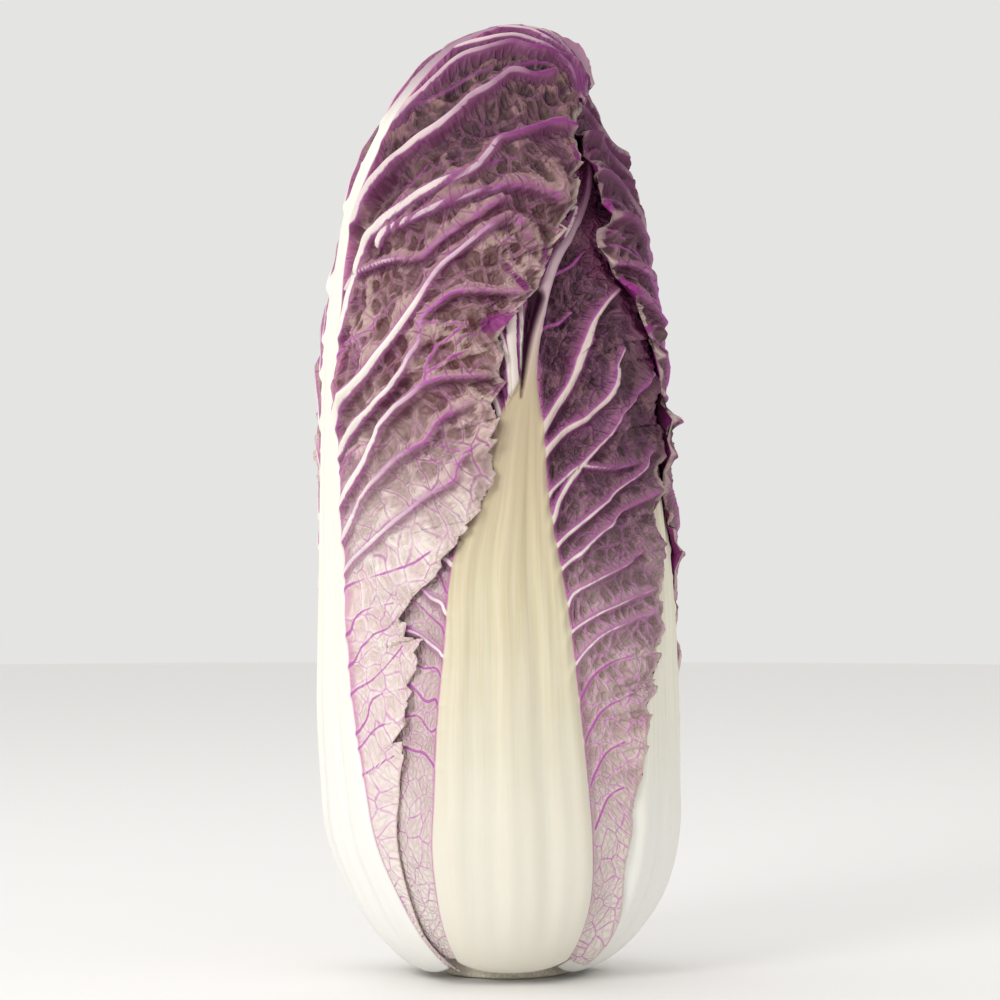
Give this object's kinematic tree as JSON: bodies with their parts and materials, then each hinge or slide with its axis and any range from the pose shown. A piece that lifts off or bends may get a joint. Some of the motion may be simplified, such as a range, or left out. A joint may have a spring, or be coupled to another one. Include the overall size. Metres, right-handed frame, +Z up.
{
  "type": "napa cabbage",
  "caption": "Upright head of napa cabbage with a flat trimmed butt, broad fluted ribs and veined wrapper leaves folded over the crown.",
  "frame": {"origin": "middle of the cut face of the stem", "axes": "+Z up along the head, -Y out through the broad front rib, +X to the right seen from the front"},
  "size_m": [0.128, 0.1282, 0.3303],
  "materials": {
    "stem": "matt cut plant tissue",
    "heart": "satin pale leaf",
    "leaf": "waxy purple blade with cream ribs"
  },
  "bodies": {
    "root": {"stem": "stem", "heart": "heart", "leaf_back_left": "leaf", "leaf_right": "leaf", "leaf_front": "leaf", "leaf_back_right": "leaf", "leaf_front_left": "leaf"}
  },
  "joints": []
}
